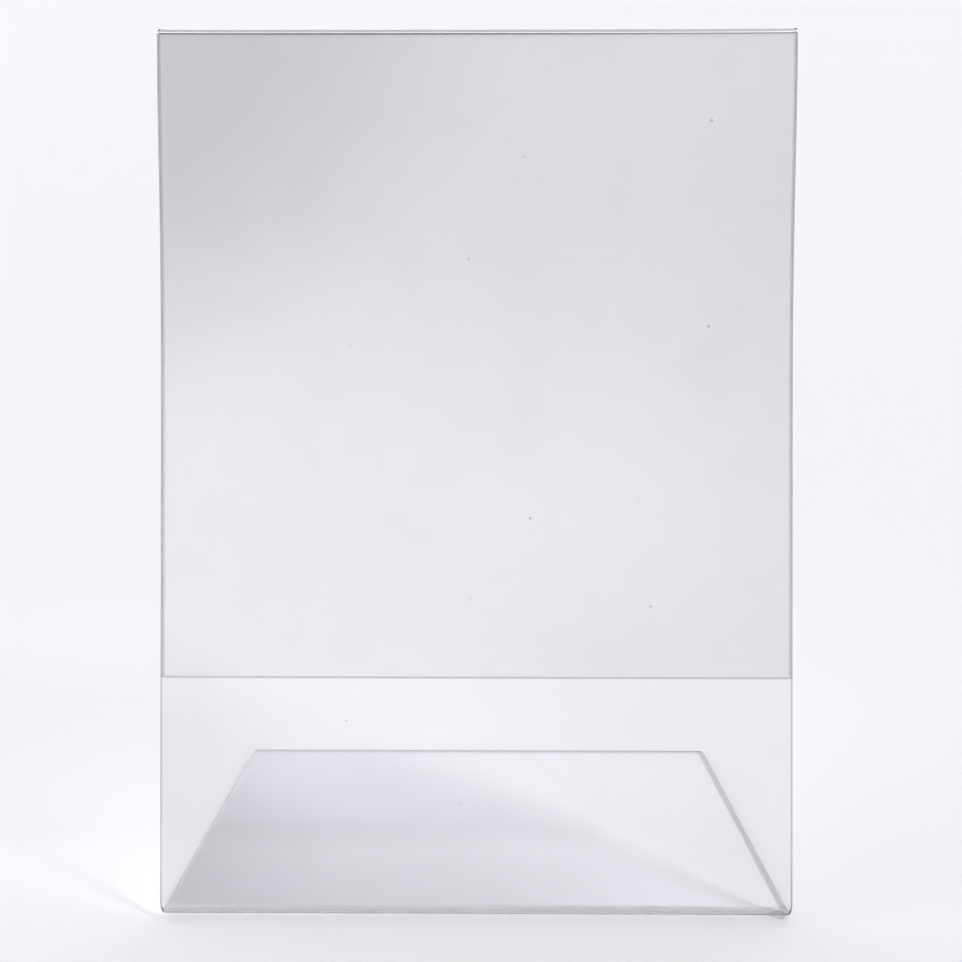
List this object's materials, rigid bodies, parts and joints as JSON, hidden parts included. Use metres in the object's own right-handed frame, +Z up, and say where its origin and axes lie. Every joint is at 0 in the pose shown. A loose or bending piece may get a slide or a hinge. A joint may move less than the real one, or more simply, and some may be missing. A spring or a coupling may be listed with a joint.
{
  "type": "counter sign holder",
  "caption": "Clear acrylic slant-back holder for a portrait card: leaning panel, top fold, rear pocket flap and tapered foot.",
  "frame": {"origin": "on the counter, under the middle of the holder's box", "axes": "+Z up, -Y towards the reader (the panel's front), +X along the width; the panel leans back towards +Y"},
  "size_m": [0.217, 0.112, 0.2837],
  "materials": {
    "clear_acrylic": "clear acrylic sheet, polished faces and flame-polished edges"
  },
  "bodies": {
    "stand": {"front_panel": "clear_acrylic", "top_fold_front": "clear_acrylic", "top_fold_rear": "clear_acrylic", "bottom_bend_front": "clear_acrylic", "bottom_bend_heel": "clear_acrylic", "base_foot": "clear_acrylic"},
    "flap": {"rear_flap": "clear_acrylic"}
  },
  "joints": [
    {"name": "flap_flex", "type": "hinge", "parent": "stand", "child": "flap", "pos_m": [0, 0.04982, 0.28024], "axis": [1, 0, 0], "range_deg": [0, 2.5], "stiffness_Nm_per_rad": 2.5, "springref_deg": -0.84}
  ]
}
